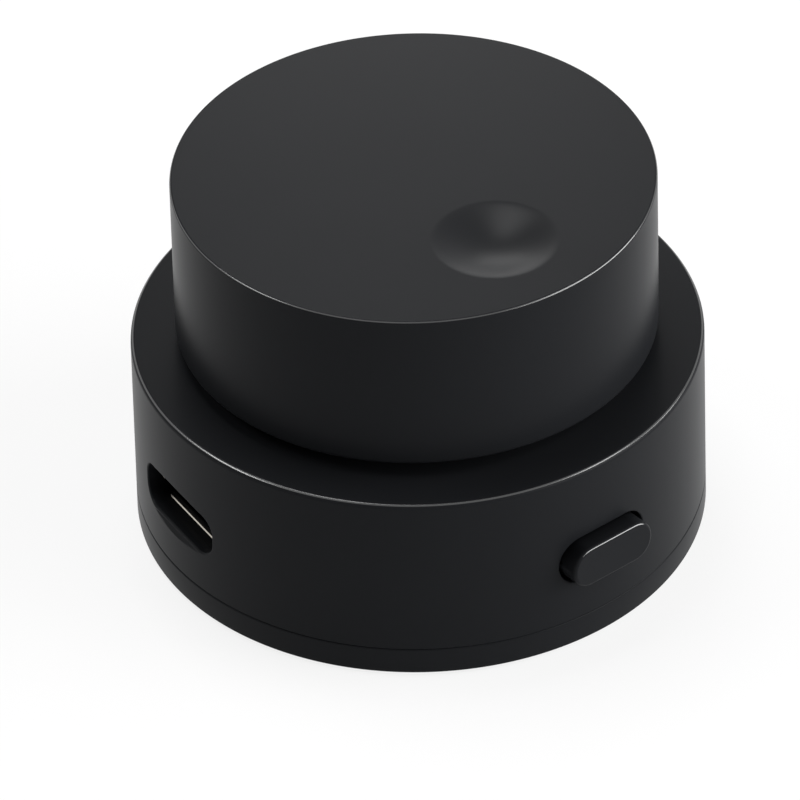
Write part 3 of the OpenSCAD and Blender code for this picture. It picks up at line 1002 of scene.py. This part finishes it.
@dataclass
class SideButton:
    """The pill-shaped button at the front right.

    The faces' distances are measured from the turning axis. The flange lies behind the wall, and
    the stem meets the plunger. The bright slope is the outward share of the normals that get the
    bright edge, and the bright up is their least upward share.
    """

    width: float = 10.4
    tall: float = 4.8
    corner: float = 2.3
    face: float = 31.6
    face_band: float = 0.1
    edge: float = 0.35
    edge_steps: int = 6
    flange_width: float = 13.1
    flange_tall: float = 7.4
    flange_corner: float = 1.0
    flange_thick: float = 1.0
    flange_face: float = 26.71
    stem_width: float = 3.0
    stem_tall: float = 2.0
    stem_corner: float = 0.2
    stem_long: float = 0.8
    bright_slope: tuple[float, float] = (0.7, 0.9)
    bright_up: float = 0.5

    def __post_init__(self) -> None:
        """Works out which way the button faces."""
        self.turn = Matrix.Rotation(math.radians(BUTTON_ANGLE), 4, "Z")
        self.out = self.turn @ Vector((1, 0, 0))

    def build(self, height: float) -> bpy.types.Object:
        """Builds the button as one closed mesh."""
        shell = Shell()
        pill = Window(BUTTON_ANGLE, height, self.width, self.tall, self.corner)
        flange = Window(BUTTON_ANGLE, height, self.flange_width, self.flange_tall, self.flange_corner)
        stem = Window(BUTTON_ANGLE, height, self.stem_width, self.stem_tall, self.stem_corner)
        back = self.flange_face - self.flange_thick

        def ring(window: Window, grow: float, reach: float) -> Edges:
            """Adds an outline in a plane at a distance from the turning axis."""
            return shell.loop(self.turn @ Vector((reach, y, height + z)) for y, z in window.outline(grow))

        loops = []
        for i in range(self.edge_steps + 1):
            angle = math.radians(90 * i / self.edge_steps)
            inset = self.edge * (1 - math.sin(angle))
            loops.append(ring(pill, -inset, self.face - self.edge * (1 - math.cos(angle))))
        loops.append(ring(pill, 0, self.flange_face))
        loops.append(ring(flange, 0, self.flange_face))
        loops.append(ring(flange, 0, back))
        face_loop = ring(pill, -self.edge - self.face_band, self.face)
        shell.bridge(face_loop, loops[0])
        shell.chain(loops)
        shell.fill(face_loop)
        stem_root = ring(stem, 0, back)
        stem_tip = ring(stem, 0, back - self.stem_long)
        shell.fill(loops[-1] + stem_root)
        shell.bridge(stem_root, stem_tip)
        shell.fill(stem_tip)
        return shell.finish("side_button_pill", (self.face_normal,))

    def face_normal(self, point: Vector) -> Optional[Vector]:
        """Gives the outward direction on the flat face."""
        return self.out if abs(point.dot(self.out) - self.face) < ON_FLAT_MM else None

    def on_edge(self, _: Vector, normal: Vector) -> bool:
        """Says whether a face is in the upper part of the rounded edge."""
        low, high = self.bright_slope
        return normal.z > self.bright_up and low < normal.dot(self.out) < high

    def make(self, paint: Paintshop, height: float) -> None:
        """Builds and dresses the button."""
        piece = self.build(height)
        paint.dress(piece, Finish.BLACK_ABS)
        paint.accent(piece, Finish.BRIGHT_EDGE, self.on_edge)
        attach(piece, "side_button")
        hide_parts("side_button")
        LOG.info("built %s", piece.name)


@dataclass
class PortFrame:
    """The pressed steel rim behind the slot, with the sharp lip that catches the light.

    The lip is the bevel of the window's outer edge. The plating shows where the share of the
    normal across the slot is in the bright slope.
    """

    width: float = 14.8
    tall: float = 6.9
    corner: float = 0.8
    thick: float = 0.6
    window_width: float = 12.76
    window_tall: float = 4.86
    window_round: float = 0.3
    lip: float = 0.1
    bright_slope: tuple[float, float] = (0.3, 0.95)

    def build(self, height: float) -> bpy.types.Object:
        """Builds the frame as one closed ring with a bevelled lip."""
        shell = Shell()
        front = mm_box("port_frame")[0].x
        back = front + self.thick

        def ring(window: Window, grow: float, x: float) -> Edges:
            """Adds an outline in a plane across the slot."""
            return shell.loop(Vector((x, y, height + z)) for y, z in window.outline(grow))

        outside = Window(SOCKET_ANGLE, height, self.width, self.tall, self.corner)
        inside = Window(SOCKET_ANGLE, height, self.window_width, self.window_tall, self.window_round)
        loops = [
            ring(outside, 0, front),
            ring(inside, self.lip, front),
            ring(inside, 0, front + self.lip),
            ring(inside, 0, back),
            ring(outside, 0, back),
        ]
        shell.chain(loops + loops[:1])
        return shell.finish("socket_rim_frame")

    def on_lip(self, _: Vector, normal: Vector) -> bool:
        """Says whether a face is on the bevelled lip."""
        low, high = self.bright_slope
        return low < abs(normal.x) < high

    def make(self, paint: Paintshop, height: float) -> None:
        """Builds and dresses the frame."""
        piece = self.build(height)
        for polygon in piece.data.polygons:
            polygon.use_smooth = False
        paint.dress(piece, Finish.BLACK_STEEL)
        paint.accent(piece, Finish.NICKEL, self.on_lip)
        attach(piece, "base")
        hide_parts("port_frame")
        LOG.info("built %s", piece.name)


# ------------------------------
# Studio
# ------------------------------


@dataclass
class PhotoCamera:
    """The camera at the photograph's viewing angle, fitted to the object's circles.

    Lens and sensor are in millimetres and the angles in degrees, with azimuth 0 towards -Y and 90
    towards +X. The camera aims a little left of the target on the turning axis, and below it.
    """

    lens: float = 348.3
    distance: float = 813.3
    azimuth: float = -31.0
    elevation: float = 37.92
    roll: float = -1.493
    target_height: float = 15.3
    aim_left: float = 1.957
    aim_down: float = 2.228
    sensor_width: float = 36.0
    clip_start_m: float = 0.05
    clip_end_m: float = 20.0

    def make(self) -> None:
        """Places the camera and makes it the scene's own."""
        turn, roll = math.radians(self.azimuth), math.radians(self.roll)
        target = Vector((0, 0, self.target_height))
        out = direction(self.azimuth, self.elevation)
        right = Vector((math.cos(turn), math.sin(turn), 0))
        up = out.cross(right)
        rolled_right = right * math.cos(roll) + up * math.sin(roll)
        rolled_up = up * math.cos(roll) - right * math.sin(roll)
        position = target + out * self.distance
        aim = target - rolled_right * self.aim_left - rolled_up * self.aim_down
        back = (position - aim).normalized()
        side = rolled_up.cross(back).normalized()
        top = back.cross(side)
        camera = bpy.data.cameras.new("photo_camera")
        camera.lens = self.lens
        camera.sensor_width = self.sensor_width
        camera.clip_start = self.clip_start_m
        camera.clip_end = self.clip_end_m
        holder = add_object("photo_camera", camera)
        facing = Matrix((side, top, back)).transposed().to_4x4()
        holder.matrix_world = Matrix.Translation(position * MM) @ facing
        bpy.context.scene.camera = holder


@dataclass(frozen=True)
class Softbox:
    """A large soft lamp, placed round the object from the camera's side.

    Attributes:
        name: the lamp's name.
        azimuth: degrees round from the camera, positive to the right.
        elevation: degrees above the table.
        distance_m: distance from the object in metres.
        width_m: width in metres.
        height_m: height in metres.
        power: watts.
        aim_height_m: height of the point on the turning axis that it faces, in metres.
    """

    name: str
    azimuth: float
    elevation: float
    distance_m: float
    width_m: float
    height_m: float
    power: float
    aim_height_m: float = 0.02

    def make(self, camera_azimuth: float) -> None:
        """Places the lamp, aimed at the object."""
        out = direction(camera_azimuth + self.azimuth, self.elevation)
        lamp = bpy.data.lights.new(self.name, "AREA")
        lamp.shape = "RECTANGLE"
        lamp.size = self.width_m
        lamp.size_y = self.height_m
        lamp.energy = self.power
        spot = out * self.distance_m + Vector((0, 0, self.aim_height_m))
        facing = out.to_track_quat("Z", "Y").to_matrix().to_4x4()
        holder = add_object(self.name, lamp)
        holder.matrix_world = Matrix.Translation(spot) @ facing


@dataclass
class Studio:
    """The pale floor, the world and the lamps.

    The floor's white share is how much of it shows as plain white. The world's strength is its
    light where it isn't seen. The fibres are those of the floor's paper.
    """

    floor_half_m: float = 6.0
    floor_colour: str = "f4f4f4"
    floor_white_share: float = 0.82
    fibre_mm: float = 2.5
    fibre_depth_mm: float = 0.05
    fibre_strength: float = 0.1
    world_strength: float = 0.1
    lamps: tuple[Softbox, ...] = (
        Softbox("left_strip", -93, 48, 1.2, 0.55, 0.2, 3.4),
        Softbox("right_strip", 84, 48, 1.2, 0.45, 0.2, 2.6),
        Softbox("right_panel", 78, 17, 1.2, 1.5, 0.6, 22.0),
        Softbox("back_near_strip", 180, 26, 0.20, 0.07, 0.07, 0.035),
        Softbox("left_back_panel", -150, 71, 0.8, 0.35, 0.35, 3.2),
    )

    def shown_white(self, tree: Tree) -> Socket:
        """Marks the rays that see the studio as plain white.

        Args:
            tree: the node tree to add to.

        Returns:
            1 for rays from the camera and for mirrored or refracted ones, else 0.
        """
        path = add_node(tree, "ShaderNodeLightPath")
        seen = path.outputs["Is Camera Ray"]
        for kind in ("Is Glossy Ray", "Is Transmission Ray"):
            either = add_node(tree, "ShaderNodeMath", {0: seen, 1: path.outputs[kind]}, operation="MAXIMUM")
            seen = either.outputs[0]
        return seen

    def build_floor(self) -> None:
        """Builds the pale floor, which shows near white and keeps the object's shadow."""
        bm = bmesh.new()
        bmesh.ops.create_grid(bm, x_segments=1, y_segments=1, size=self.floor_half_m)
        mesh = bpy.data.meshes.new("studio_floor")
        bm.to_mesh(mesh)
        bm.free()
        floor = add_object("studio_floor", mesh)
        material, tree, place = start_material("studio_paper")
        fibre = add_noise(tree, place, self.fibre_mm, detail=2.0)
        relief = add_bump(tree, fibre, self.fibre_depth_mm, self.fibre_strength)
        paper = add_node(
            tree, "ShaderNodeBsdfDiffuse", {"Color": linear(self.floor_colour), "Normal": relief}
        )
        glow = add_node(tree, "ShaderNodeEmission", {"Color": WHITE, "Strength": 1.0})
        share = add_node(
            tree,
            "ShaderNodeMath",
            {0: self.shown_white(tree), 1: self.floor_white_share},
            operation="MULTIPLY",
        )
        mix = add_node(
            tree,
            "ShaderNodeMixShader",
            {0: share.outputs[0], 1: paper.outputs["BSDF"], 2: glow.outputs["Emission"]},
        )
        end_material(tree, mix.outputs["Shader"])
        floor.data.materials.append(material)

    def build_world(self) -> None:
        """Builds the world: white where it is seen, and a low, even light elsewhere."""
        world = bpy.data.worlds.new("studio_world")
        world.use_nodes = True
        tree = world.node_tree
        tree.nodes.clear()
        strength = add_range(tree, self.shown_white(tree), self.world_strength, 1.0)
        back = add_node(tree, "ShaderNodeBackground", {"Color": WHITE, "Strength": strength})
        add_node(tree, "ShaderNodeOutputWorld", {"Surface": back.outputs["Background"]})
        bpy.context.scene.world = world

    def make(self, camera_azimuth: float) -> None:
        """Builds the whole studio."""
        self.build_floor()
        self.build_world()
        for lamp in self.lamps:
            lamp.make(camera_azimuth)
        bpy.context.scene.view_settings.view_transform = "Standard"


def dress_packed(frame: dict, paint: Paintshop) -> None:
    """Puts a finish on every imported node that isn't replaced.

    Args:
        paint: the finishes.
    """
    for name, finish in NODE_FINISHES.items():
        paint.dress(frame["nodes"][name], finish)
        LOG.info("dressed %s as %s", name, finish.value.name)


def main() -> None:
    """Builds the camera, the object's pieces and the studio."""
    logging.basicConfig(level=logging.INFO, format="%(name)s: %(message)s")
    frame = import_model()
    camera = PhotoCamera()
    camera.make()
    paint = Paintshop()
    drum = Drum()
    drum.make(paint)
    Knob().make(paint)
    SideButton().make(paint, drum.port_height)
    PortFrame().make(paint, drum.port_height)
    dress_packed(frame, paint)
    Studio().make(camera.azimuth)


if __name__ == "__main__":
    main()
